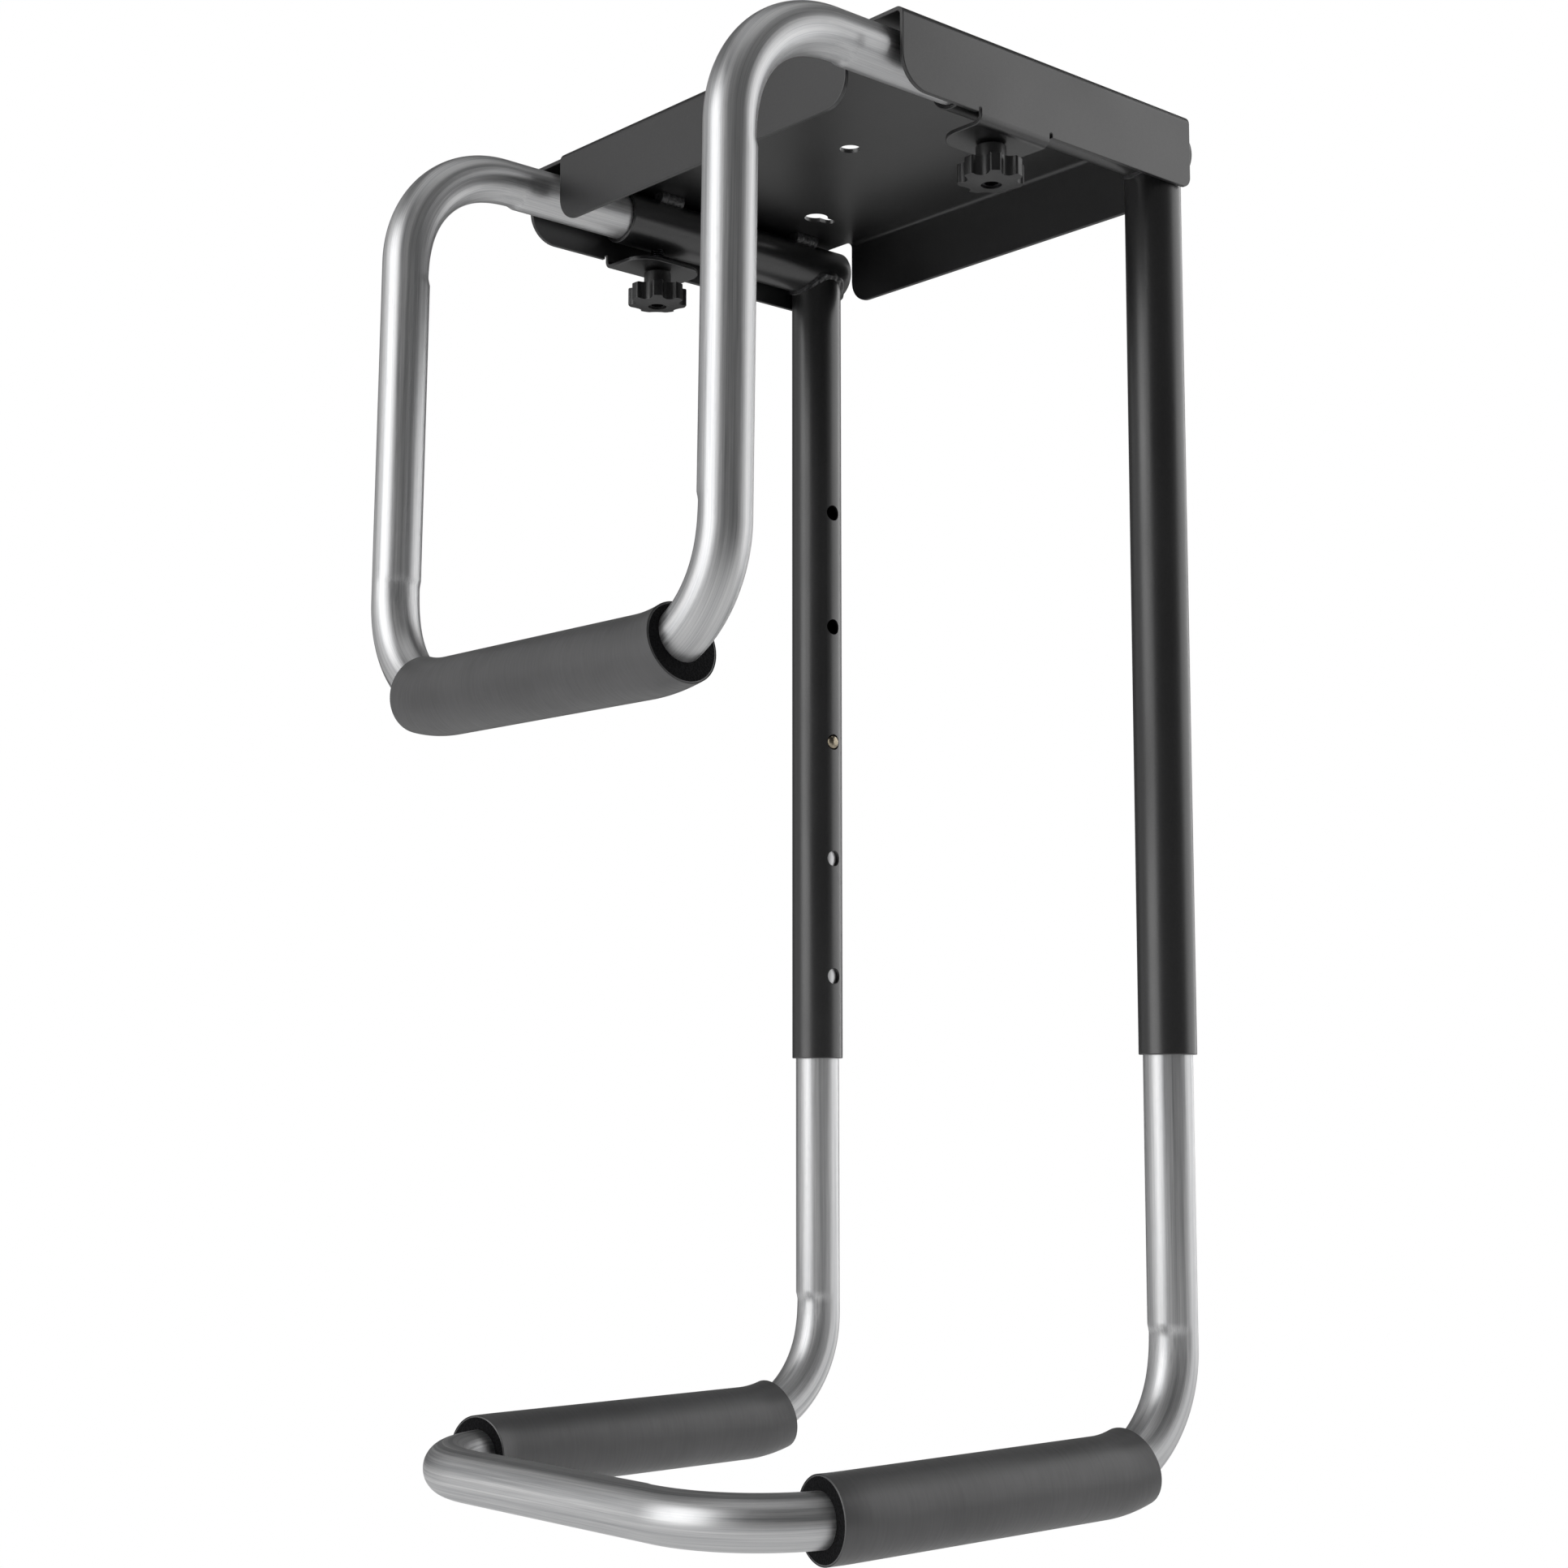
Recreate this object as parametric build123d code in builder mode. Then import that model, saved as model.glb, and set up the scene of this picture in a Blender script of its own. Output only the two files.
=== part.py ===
from build123d import *
import os
from math import cos, radians, sin, sqrt, tan

os.makedirs("parts", exist_ok=True)

# A holder that hangs a desktop computer under a desk. X runs across the computer, from the
# sliding loop to the two uprights. Y runs along the computer, front to rear. Z is up.
# The origin is the middle of the plate's desk face. Lengths are in millimetres.

# ------------------------------------------------------------------ mounting plate
plate_length = 193.0          # along X, outside the two end flanges
plate_width = 260.0           # along Y, outside the two side flanges
sheet = 2.0                   # thickness of the steel sheet
bend_outside = 4.0            # outside radius of every fold
flange_past_tube = 5.5        # guide tubes' underside to the flanges' lower edges
corner_gap = 0.5              # from the end of a side flange to the start of the end fold
end_flange_gap = 2.1          # each end of an end flange to the guide tube beside it
end_flange_corner = 12.0      # rounded lower corners of the end flanges
side_corner_open = 14.0       # rounded lower corners of the side flanges, loop end
side_corner_back = 5.0        # the same, upright end
sheet_round = 0.4             # softened edges of the cut and folded sheet
centre_hole_diameter = 10.0
keyhole_inset_x = 39.5        # plate's end face to the middle of a keyhole's lobe and slot end
keyhole_inset_y = 48.5        # plate's outer side to the same
keyhole_lobe = 12.0           # diameter that a screw head passes
keyhole_slot = 6.0            # width that the screw shank slides into
keyhole_travel = 9.0          # lobe centre to slot-end centre

# ------------------------------------------------------------------ clamp tabs
tab_from_mouth = 24.2         # guide tube mouth to clamp screw axis
tab_width = 42.5
tab_past_tube = 0.6           # guide tube's inner side to the tab's tip
tab_corner = 12.0
tab_hole_clearance = 0.3      # radial, round the screw
relief_width = 1.6            # nick in the flange's edge at each side of a tab
relief_height = 2.2

# ------------------------------------------------------------------ black steel tubes
tube_wall = 1.55              # steel wall and its powder coat
edge_round = 0.5              # softened rims of tubes, and the tips of the screws
slide_clearance = 0.3         # radial, between an aluminium tube and the black tube round it
flange_gap = 0.2              # between a guide tube and the side flange beside it
plate_gap = 1.3               # between a guide tube and the sheet above, bridged by the welds
guide_length = 144.5
upright_inset = 13.5          # plate's end face to the uprights' axis
first_hole = 148.0            # desk face to the uppermost adjusting hole
hole_pitch = 60.0
hole_count = 5
hole_clearance = 0.2          # radial, between a snap button and an adjusting hole
upright_tail = 41.5           # last adjusting hole to the upright's lower end
cope_trim = 3.0               # the saddle's two horns stop this far below the guide's axis
plug_head = 1.4
plug_round = 1.0
plug_spigot = 11.0
plug_wall = 1.8
plug_clearance = 0.1          # radial, between a plug's spigot and the tube's bore

# ------------------------------------------------------------------ welds
stitch_length = 14.0
stitch_radius = 3.4
stitch_inward = 8.0           # guide tube's axis to the stitches' middle, along Y
stitch_drop = 1.9             # plate's underside to the stitches' middle
stitch_from_mouth = 25.3      # guide tube's mouth to the first stitch's middle
stitch_from_back = 28.9       # guide tube's back end to the second stitch's middle
saddle_bead = 1.7
saddle_top = 5.1              # guide tube's axis to the bead's upper end

# ------------------------------------------------------------------ aluminium tubes
alloy_diameter = 22.0
alloy_wall = 1.5
loop_reach = 254.4            # uprights' axis to the loop's top corners
loop_drop = 258.1             # guide tubes' axis to the loop's bar
loop_lean = 0.87              # degrees that the loop's legs lean out, away from the uprights
loop_top_bend = 52.0
loop_bar_bend = 48.0
loop_engage = 58.6            # length of loop inside each guide tube at rest
cradle_reach = 246.2          # uprights' axis to the cradle's cross tube
cradle_leg = 339.0            # snap button to the foot tubes' axis
cradle_back_bend = 50.2
cradle_front_bend = 51.5
leg_above_button = 25.0
button_setting = 2            # adjusting hole that the buttons stand in, counted from the top

# ------------------------------------------------------------------ foam sleeves
foam_wall = 6.15
sleeve_clearance = 0.1        # radial, between foam and tube
bar_wrap = 23.4               # length of foam round each bend of the loop's bar
foot_wrap_front = 12.6        # length of foam round the bend at the cross tube
foot_wrap_back = 22.9         # length of foam round the bend below the upright

# ------------------------------------------------------------------ snap buttons
button_diameter = 7.6
button_hole_clearance = 0.15  # radial, in the leg's own hole
button_proud = 1.1            # above the upright's outer face
button_dome = 3.0
button_lip = 1.0              # radial, of the button's flange
button_flange_thickness = 1.0
button_seat_gap = 0.2         # between the flange's rim and the leg's inner wall
spring_sheet = 0.8
spring_width = 8.0
spring_length = 42.0
spring_clearance = 0.25       # between the spring and the leg's inner wall
spring_bend = 2.2

# ------------------------------------------------------------------ clamp knobs
screw_diameter = 6.0
screw_running_gap = 0.05      # radial, between the screw and what it turns in
screw_tip_gap = 0.05          # between the screw's tip and the loop's tube
guide_hole_clearance = 0.5    # radial, where the screw enters the guide tube
nut_wall = 2.0                # screw to the nut's flats
nut_height = 4.6
nut_gap = 3.4                 # guide tube's underside to the nut
knob_gap = 0.8                # tab's underside to the knob's neck
neck_wall = 3.7               # screw to the neck's outside
neck_height = 7.7
head_diameter = 29.2
head_height = 8.2
head_crown = 1.6              # bulge of the knob's face
lobe_count = 7
flute_radius = 4.0
flute_outside = 0.6           # knob's rim to each flute's centre
lobe_round = 1.2
rim_round = 0.6
insert_wall = 1.5             # screw to the insert's outside
insert_depth = 9.0
insert_recess = 1.0           # insert's face below the knob's face
screw_foot = 1.5              # insert's face to the screw's lower end

# ------------------------------------------------------------------ worked-out sizes
alloy_bore = alloy_diameter - 2 * alloy_wall
tube_bore = alloy_diameter + 2 * slide_clearance
tube_diameter = tube_bore + 2 * tube_wall
tube_radius = tube_diameter / 2
alloy_radius = alloy_diameter / 2
flange_depth = sheet + plate_gap + tube_diameter + flange_past_tube
keyhole_spacing_x = plate_length - 2 * keyhole_inset_x
keyhole_spacing_y = plate_width - 2 * keyhole_inset_y
tab_reach = sheet + flange_gap + tube_diameter + tab_past_tube
tab_level = sheet + plate_gap + tube_diameter + nut_gap + nut_height + sheet
sleeve_diameter = alloy_diameter + 2 * (sleeve_clearance + foam_wall)
hole_diameter = button_diameter + 2 * hole_clearance
button_flange = button_diameter + 2 * button_lip
nut_flats = screw_diameter + 2 * nut_wall
neck_diameter = screw_diameter + 2 * neck_wall
insert_diameter = screw_diameter + 2 * insert_wall
flute_centre = head_diameter / 2 + flute_outside

# ------------------------------------------------------------------ worked-out places
tube_y = plate_width / 2 - sheet - flange_gap - tube_radius
end_flange_length = 2 * (tube_y - tube_radius - end_flange_gap)
guide_z = -(sheet + plate_gap + tube_radius)
upright_x = plate_length / 2 - upright_inset
guide_back = upright_x + tube_radius
guide_mouth = guide_back - guide_length
side_flange_length = plate_length - 2 * (bend_outside + corner_gap)
clamp_x = guide_mouth + tab_from_mouth
button_z = -(first_hole + button_setting * hole_pitch)
upright_end = -(first_hole + (hole_count - 1) * hole_pitch + upright_tail)
foot_z = button_z - cradle_leg
cross_x = upright_x - cradle_reach
loop_x = upright_x - loop_reach
bar_z = guide_z - loop_drop
bar_x = loop_x - loop_drop * tan(radians(loop_lean))
loop_end_x = guide_mouth + loop_engage
sides = {"front": -1, "rear": 1}


def save(piece, name):
    """Label a finished piece and write it to its own file."""
    piece.part.label = name
    export_step(piece.part, f"parts/{name}.step")


def across_x(x, y, z):
    """A plane that faces +X, with Y to its right and Z up."""
    return Plane(origin=(x, y, z), x_dir=(0, 1, 0), z_dir=(1, 0, 0))


def facing_in(side, x, y, z):
    """A plane that faces the middle of the holder, from one side."""
    return Plane(origin=(x, y, z), x_dir=(1, 0, 0), z_dir=(0, -side, 0))


def corners(piece):
    """Edges where two faces of a piece meet at an angle, and not smoothly."""
    normals = {}
    for face in piece.faces():
        for edge in face.edges():
            normals.setdefault(edge, []).append(face.normal_at(edge @ 0.5))
    return ShapeList(
        edge for edge, pair in normals.items() if len(pair) == 2 and pair[0].get_angle(pair[1]) > 45
    )


def bend_points(start, along, towards, radius, length):
    """Middle and end of an arc that leaves start along one direction and turns to another."""
    points = []
    for share in (0.5, 1.0):
        turn = share * length / radius
        step = Vector(*along) * radius * sin(turn) + Vector(*towards) * radius * (1 - cos(turn))
        points.append(Vector(*start) + step)
    return points


# ================================================================== mounting plate
fold_centreline = bend_outside - sheet / 2
with BuildPart() as mounting_plate:
    with BuildSketch(Plane.YZ.offset(-side_flange_length / 2)):
        with BuildLine():
            half = plate_width / 2 - sheet / 2
            FilletPolyline(
                (-half, -flange_depth), (-half, -sheet / 2), (half, -sheet / 2), (half, -flange_depth),
                radius=fold_centreline,
            )
        trace(line_width=sheet)
    extrude(amount=side_flange_length)
    with BuildSketch(Plane.XZ.offset(-end_flange_length / 2)):
        with BuildLine():
            half = plate_length / 2 - sheet / 2
            FilletPolyline(
                (-half, -flange_depth), (-half, -sheet / 2), (half, -sheet / 2), (half, -flange_depth),
                radius=fold_centreline,
            )
        trace(line_width=sheet)
    extrude(amount=end_flange_length)
    lower = mounting_plate.edges().filter_by(
        lambda e: abs(e.length - sheet) < 0.01 and e.center().Z < 0.01 - flange_depth
    )
    side_ends = lower.filter_by(Axis.Y).group_by(Axis.X)
    end_corners = lower.filter_by(Axis.X)
    fillet(side_ends[0], side_corner_open)
    fillet(side_ends[-1], side_corner_back)
    fillet(end_corners, end_flange_corner)
    for side in sides.values():
        with BuildSketch(Plane.YZ.offset(clamp_x - tab_width / 2)):
            with BuildLine():
                wall_y = side * (plate_width / 2 - sheet / 2)
                tip_y = side * (plate_width / 2 - tab_reach)
                level = sheet / 2 - tab_level
                FilletPolyline(
                    (wall_y, -flange_depth / 2), (wall_y, level), (tip_y, level), radius=fold_centreline
                )
            trace(line_width=sheet)
        extrude(amount=tab_width)
    tips = mounting_plate.edges().filter_by(Axis.Z).filter_by(
        lambda e: abs(e.length - sheet) < 0.01
        and e.center().Z < -flange_depth
        and abs(e.center().Y) < plate_width / 2 - tab_reach + 0.01
    )
    fillet(tips, tab_corner)
    for side in sides.values():
        for end in (-1, 1):
            nick_x = clamp_x + end * (tab_width + relief_width) / 2
            with BuildSketch(facing_in(side, nick_x, side * plate_width / 2, -flange_depth)):
                SlotOverall(2 * relief_height, relief_width, rotation=90)
            extrude(amount=sheet, mode=Mode.SUBTRACT)
        with BuildSketch(Plane(origin=(clamp_x, side * tube_y, -tab_level))):
            Circle(screw_diameter / 2 + tab_hole_clearance)
        extrude(amount=sheet, mode=Mode.SUBTRACT)
    fillet(corners(mounting_plate), sheet_round)
    with BuildSketch(Plane.XY.offset(-sheet)):
        Circle(centre_hole_diameter / 2)
        with GridLocations(keyhole_spacing_x, keyhole_spacing_y, 2, 2):
            SlotCenterToCenter(keyhole_travel, keyhole_slot)
        with Locations((-keyhole_travel / 2, 0)):
            with GridLocations(keyhole_spacing_x, keyhole_spacing_y, 2, 2):
                Circle(keyhole_lobe / 2)
    extrude(amount=sheet, mode=Mode.SUBTRACT)
save(mounting_plate, "mounting_plate")

# ================================================================== tubes, plugs and welds of the frame
for end_name, side in sides.items():
    y = side * tube_y

    with BuildPart() as guide_tube:
        with BuildSketch(across_x(guide_mouth, y, guide_z)):
            Circle(tube_radius)
            Circle(tube_bore / 2, mode=Mode.SUBTRACT)
        extrude(amount=guide_length)
        fillet(guide_tube.edges().group_by(Axis.X)[0], edge_round)
        with BuildSketch(Plane(origin=(clamp_x, y, guide_z))):
            Circle(screw_diameter / 2 + guide_hole_clearance)
        extrude(amount=-tube_diameter, mode=Mode.SUBTRACT)
    save(guide_tube, f"guide_tube_{end_name}")

    with BuildPart() as upright:
        with BuildSketch(Plane(origin=(upright_x, y, upright_end))):
            Circle(tube_radius)
            Circle(tube_bore / 2, mode=Mode.SUBTRACT)
        extrude(amount=guide_z - cope_trim - upright_end)
        fillet(upright.edges().group_by(Axis.Z)[0], edge_round)
        with BuildSketch(across_x(upright_x, y, guide_z)):
            Circle(tube_radius)
        extrude(amount=tube_diameter, both=True, mode=Mode.SUBTRACT)
        for number in range(hole_count):
            with BuildSketch(facing_in(side, upright_x, y, -(first_hole + number * hole_pitch))):
                Circle(hole_diameter / 2)
            extrude(amount=tube_diameter, mode=Mode.SUBTRACT)
    save(upright, f"upright_{end_name}")

    with BuildPart() as guide_plug:
        with BuildSketch(across_x(guide_back, y, guide_z)):
            Circle(tube_radius - edge_round)
        extrude(amount=plug_head)
        fillet(guide_plug.edges().group_by(Axis.X)[-1], plug_round)
        with BuildSketch(across_x(guide_back, y, guide_z)):
            Circle(tube_bore / 2 - plug_clearance)
            Circle(tube_bore / 2 - plug_clearance - plug_wall, mode=Mode.SUBTRACT)
        extrude(amount=-plug_spigot)
    save(guide_plug, f"guide_plug_{end_name}")

    with BuildPart() as guide_welds:
        for middle in (guide_mouth + stitch_from_mouth, guide_back - stitch_from_back):
            with BuildSketch(across_x(middle - stitch_length / 2, y, guide_z)):
                with Locations((-side * stitch_inward, tube_radius + plate_gap - stitch_drop)):
                    Circle(stitch_radius)
                with Locations((0, tube_radius + plate_gap + plate_width / 2)):
                    Rectangle(plate_width, plate_width, mode=Mode.SUBTRACT)
                Circle(tube_radius, mode=Mode.SUBTRACT)
            extrude(amount=stitch_length)
    save(guide_welds, f"guide_welds_{end_name}")

    with BuildPart() as saddle_weld:
        with BuildSketch(Plane(origin=(upright_x, y, guide_z - 2 * tube_radius))):
            Circle(tube_radius + saddle_bead)
        extrude(amount=2 * tube_radius - saddle_top)
        with BuildSketch(across_x(upright_x - tube_diameter, y, guide_z)):
            Circle(tube_radius + saddle_bead)
        extrude(amount=tube_diameter + tube_radius, mode=Mode.INTERSECT)
        with BuildSketch(across_x(upright_x, y, guide_z)):
            Circle(tube_radius)
        extrude(amount=tube_diameter, both=True, mode=Mode.SUBTRACT)
        with BuildSketch(Plane(origin=(upright_x, y, guide_z))):
            Circle(tube_radius)
            with Locations((0, side * (tube_radius + saddle_bead))):
                Rectangle(2 * tube_diameter, 2 * saddle_bead, mode=Mode.ADD)
        extrude(amount=2 * tube_diameter, both=True, mode=Mode.SUBTRACT)
    save(saddle_weld, f"saddle_weld_{end_name}")

    with BuildPart() as clamp_nut:
        with BuildSketch(Plane(origin=(clamp_x, y, sheet - tab_level))):
            RegularPolygon(nut_flats / 2, 6, major_radius=False)
            Circle(screw_diameter / 2 + screw_running_gap, mode=Mode.SUBTRACT)
        extrude(amount=nut_height)
    save(clamp_nut, f"clamp_nut_{end_name}")

# ================================================================== sliding loop
with BuildPart() as loop_tube:
    with BuildLine() as loop_path:
        FilletPolyline(
            (loop_end_x, -tube_y, guide_z),
            (loop_x, -tube_y, guide_z),
            (bar_x, -tube_y, bar_z),
            (bar_x, tube_y, bar_z),
            (loop_x, tube_y, guide_z),
            (loop_end_x, tube_y, guide_z),
            radius=[loop_top_bend, loop_bar_bend, loop_bar_bend, loop_top_bend],
        )
    with BuildSketch(across_x(loop_end_x, -tube_y, guide_z)):
        Circle(alloy_radius)
        Circle(alloy_bore / 2, mode=Mode.SUBTRACT)
    sweep(path=loop_path.line)
save(loop_tube, "loop_tube")

bar_half = tube_y - loop_bar_bend
leg_up = (sin(radians(loop_lean)), 0, cos(radians(loop_lean)))
with BuildPart() as loop_sleeve:
    left = (bar_x, -bar_half, bar_z)
    right = (bar_x, bar_half, bar_z)
    left_mid, left_end = bend_points(left, (0, -1, 0), leg_up, loop_bar_bend, bar_wrap)
    right_mid, right_end = bend_points(right, (0, 1, 0), leg_up, loop_bar_bend, bar_wrap)
    with BuildLine() as sleeve_path:
        ThreePointArc(left_end, left_mid, left)
        Line(left, right)
        ThreePointArc(right, right_mid, right_end)
    with BuildSketch(Plane(origin=sleeve_path.line @ 0, z_dir=sleeve_path.line % 0)):
        Circle(sleeve_diameter / 2)
        Circle(alloy_radius + sleeve_clearance, mode=Mode.SUBTRACT)
    sweep(path=sleeve_path.line)
save(loop_sleeve, "loop_sleeve")

# ================================================================== height-adjustable cradle
leg_top = button_z + leg_above_button
with BuildPart() as cradle_tube:
    with BuildLine() as cradle_path:
        FilletPolyline(
            (upright_x, -tube_y, leg_top),
            (upright_x, -tube_y, foot_z),
            (cross_x, -tube_y, foot_z),
            (cross_x, tube_y, foot_z),
            (upright_x, tube_y, foot_z),
            (upright_x, tube_y, leg_top),
            radius=[cradle_back_bend, cradle_front_bend, cradle_front_bend, cradle_back_bend],
        )
    with BuildSketch(Plane(origin=(upright_x, -tube_y, leg_top), z_dir=(0, 0, -1))):
        Circle(alloy_radius)
        Circle(alloy_bore / 2, mode=Mode.SUBTRACT)
    sweep(path=cradle_path.line)
    for side in sides.values():
        with BuildSketch(facing_in(side, upright_x, side * tube_y, button_z)):
            Circle(button_diameter / 2 + button_hole_clearance)
        extrude(amount=tube_diameter, mode=Mode.SUBTRACT)
save(cradle_tube, "cradle_tube")

for end_name, side in sides.items():
    y = side * tube_y
    with BuildPart() as foot_sleeve:
        outer = (cross_x + cradle_front_bend, y, foot_z)
        inner = (upright_x - cradle_back_bend, y, foot_z)
        towards_middle = (0, -side, 0)
        outer_mid, outer_end = bend_points(
            outer, (-1, 0, 0), towards_middle, cradle_front_bend, foot_wrap_front
        )
        inner_mid, inner_end = bend_points(inner, (1, 0, 0), (0, 0, 1), cradle_back_bend, foot_wrap_back)
        with BuildLine() as sleeve_path:
            ThreePointArc(outer_end, outer_mid, outer)
            Line(outer, inner)
            ThreePointArc(inner, inner_mid, inner_end)
        with BuildSketch(Plane(origin=sleeve_path.line @ 0, z_dir=sleeve_path.line % 0)):
            Circle(sleeve_diameter / 2)
            Circle(alloy_radius + sleeve_clearance, mode=Mode.SUBTRACT)
        sweep(path=sleeve_path.line)
    save(foot_sleeve, f"foot_sleeve_{end_name}")

# ================================================================== snap buttons
# Distances from the upright's axis towards the middle of the holder.
button_tip = tube_radius + button_proud
flange_rim = sqrt((alloy_bore / 2) ** 2 - (button_flange / 2) ** 2)
flange_face = flange_rim - button_seat_gap
flange_back = flange_face - button_flange_thickness
spring_back = sqrt((alloy_bore / 2 - spring_clearance) ** 2 - (spring_width / 2) ** 2)
for end_name, side in sides.items():
    y = side * tube_y

    with BuildPart() as snap_button:
        with BuildSketch(facing_in(side, upright_x, y, button_z).offset(flange_back)):
            Circle(button_diameter / 2)
        extrude(amount=button_tip - flange_back)
        fillet(snap_button.edges().group_by(Axis.Y)[-1 if side < 0 else 0], button_dome)
        with BuildSketch(facing_in(side, upright_x, y, button_z).offset(flange_back)):
            Circle(button_flange / 2)
        extrude(amount=button_flange_thickness)
    save(snap_button, f"snap_button_{end_name}")

    with BuildPart() as button_spring:
        with BuildSketch(across_x(upright_x - spring_width / 2, y, button_z)):
            with BuildLine():
                near = -side * (flange_back - spring_sheet / 2)
                away = side * (spring_back - spring_sheet / 2)
                FilletPolyline(
                    (near, button_flange / 2),
                    (near, -button_flange / 2),
                    (0, -spring_length),
                    (away, -button_flange / 2),
                    (away, button_flange / 2),
                    radius=[spring_bend, spring_bend, spring_bend],
                )
            trace(line_width=spring_sheet)
        extrude(amount=spring_width)
    save(button_spring, f"button_spring_{end_name}")

# ================================================================== clamp knobs
# Heights are measured down from the desk face, as negative Z.
neck_top = -(tab_level + knob_gap)
head_top = neck_top - neck_height
head_rim = head_top - head_height
face_z = head_rim - head_crown
insert_face = face_z + insert_recess
insert_top = insert_face + insert_depth
screw_tip = guide_z - alloy_radius - screw_tip_gap
for end_name, side in sides.items():
    y = side * tube_y

    with BuildPart() as clamp_knob:
        with BuildSketch(Plane(origin=(clamp_x, y, face_z))):
            Circle(head_diameter / 2)
            with PolarLocations(flute_centre, lobe_count):
                Circle(flute_radius, mode=Mode.SUBTRACT)
            fillet(vertices(), lobe_round)
        extrude(amount=head_top - face_z)
        with BuildSketch(Plane(origin=(clamp_x, y, 0), x_dir=(1, 0, 0), z_dir=(0, -1, 0))):
            with BuildLine():
                Polyline(
                    (0, face_z), (0, head_top), (head_diameter / 2 - rim_round, head_top),
                )
                TangentArc(
                    (head_diameter / 2 - rim_round, head_top),
                    (head_diameter / 2, head_top - rim_round),
                    tangent=(1, 0),
                )
                Line((head_diameter / 2, head_top - rim_round), (head_diameter / 2, head_rim))
                TangentArc((0, face_z), (head_diameter / 2, head_rim), tangent=(1, 0))
            make_face()
        revolve(axis=Axis((clamp_x, y, 0), (0, 0, 1)), mode=Mode.INTERSECT)
        with BuildSketch(Plane(origin=(clamp_x, y, head_top))):
            Circle(neck_diameter / 2)
        extrude(amount=neck_height)
        fillet(clamp_knob.edges().group_by(Axis.Z)[-1], rim_round)
        with BuildSketch(Plane(origin=(clamp_x, y, face_z))):
            Circle(insert_diameter / 2 + screw_running_gap)
        extrude(amount=insert_top - face_z, mode=Mode.SUBTRACT)
        with BuildSketch(Plane(origin=(clamp_x, y, insert_top))):
            Circle(screw_diameter / 2)
        extrude(amount=neck_top - insert_top, mode=Mode.SUBTRACT)
    save(clamp_knob, f"clamp_knob_{end_name}")

    with BuildPart() as knob_insert:
        with BuildSketch(Plane(origin=(clamp_x, y, insert_face))):
            Circle(insert_diameter / 2)
            Circle(screw_diameter / 2 + screw_running_gap, mode=Mode.SUBTRACT)
        extrude(amount=insert_depth - screw_running_gap)
    save(knob_insert, f"knob_insert_{end_name}")

    with BuildPart() as clamp_screw:
        with BuildSketch(Plane(origin=(clamp_x, y, insert_face + screw_foot))):
            Circle(screw_diameter / 2)
        extrude(amount=screw_tip - insert_face - screw_foot)
        chamfer(clamp_screw.edges().group_by(Axis.Z)[-1], edge_round)
    save(clamp_screw, f"clamp_screw_{end_name}")
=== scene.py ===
import logging
import math
from dataclasses import dataclass, field
from enum import Enum

import bpy
import numpy as np
from bpy.types import Material, Node, NodeSocket, NodeTree, Object
from mathutils import Matrix, Vector


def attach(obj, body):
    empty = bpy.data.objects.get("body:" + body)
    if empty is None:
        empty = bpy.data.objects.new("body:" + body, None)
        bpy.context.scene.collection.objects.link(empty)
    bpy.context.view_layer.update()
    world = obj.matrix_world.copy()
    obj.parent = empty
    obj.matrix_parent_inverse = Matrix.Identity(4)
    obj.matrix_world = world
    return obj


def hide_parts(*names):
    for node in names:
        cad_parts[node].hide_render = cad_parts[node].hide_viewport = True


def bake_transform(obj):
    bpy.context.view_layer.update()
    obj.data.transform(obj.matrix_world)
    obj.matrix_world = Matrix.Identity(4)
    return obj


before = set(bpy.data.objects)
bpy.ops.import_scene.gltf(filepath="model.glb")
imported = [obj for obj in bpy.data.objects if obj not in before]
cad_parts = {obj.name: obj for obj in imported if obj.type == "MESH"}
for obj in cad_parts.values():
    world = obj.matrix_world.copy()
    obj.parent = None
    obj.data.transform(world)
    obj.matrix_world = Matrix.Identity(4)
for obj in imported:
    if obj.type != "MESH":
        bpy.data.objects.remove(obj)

log = logging.getLogger("computer_holder")
MM = 0.001
SAME_PLACE = 0.004 * MM     # vertices nearer each other than this are merged
ON_PLANE = 0.02 * MM        # an edge nearer a cut end's plane than this lies on it
LEVEL = 0.05 * MM           # a face of a cut end has its middle nearer the plane than this
SQUARE = 0.98               # least cosine between that face's normal and the end's heading
TIP = 0.05                  # straight end of a foam sleeve's centreline, in millimetres
SMOOTH_BELOW = 35.0         # degrees between two faces that are shaded as one surface
MIDDLE = (0.3, 0.7)         # the range that most of a noise pattern lies in
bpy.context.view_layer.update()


# ---------------------------------------------------------------- small tools
def linear(colour: str) -> tuple[float, float, float, float]:
    """Turn an sRGB hex colour into linear light.

    Args:
        colour: six hex digits after a hash sign.

    Returns:
        Red, green, blue and an alpha of 1.
    """
    parts = [int(colour[i:i + 2], 16) / 255 for i in (1, 3, 5)]
    return (*(c / 12.92 if c <= 0.04045 else ((c + 0.055) / 1.055) ** 2.4 for c in parts), 1.0)


def add_node(tree: NodeTree, kind: str, values: dict | None = None, links: dict | None = None,
             **settings: object) -> Node:
    """Add a shader node with its settings, its values and its links.

    Args:
        tree: the tree that gets the node.
        kind: the node's type name without its ShaderNode prefix.
        values: input name or number to its constant.
        links: input name or number to the socket that feeds it.
        **settings: properties of the node itself.

    Returns:
        The new node.
    """
    node = tree.nodes.new("ShaderNode" + kind)
    for key, value in settings.items():
        setattr(node, key, value)
    for key, value in (values or {}).items():
        node.inputs[key].default_value = value
    for key, socket in (links or {}).items():
        tree.links.new(socket, node.inputs[key])
    return node


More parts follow.
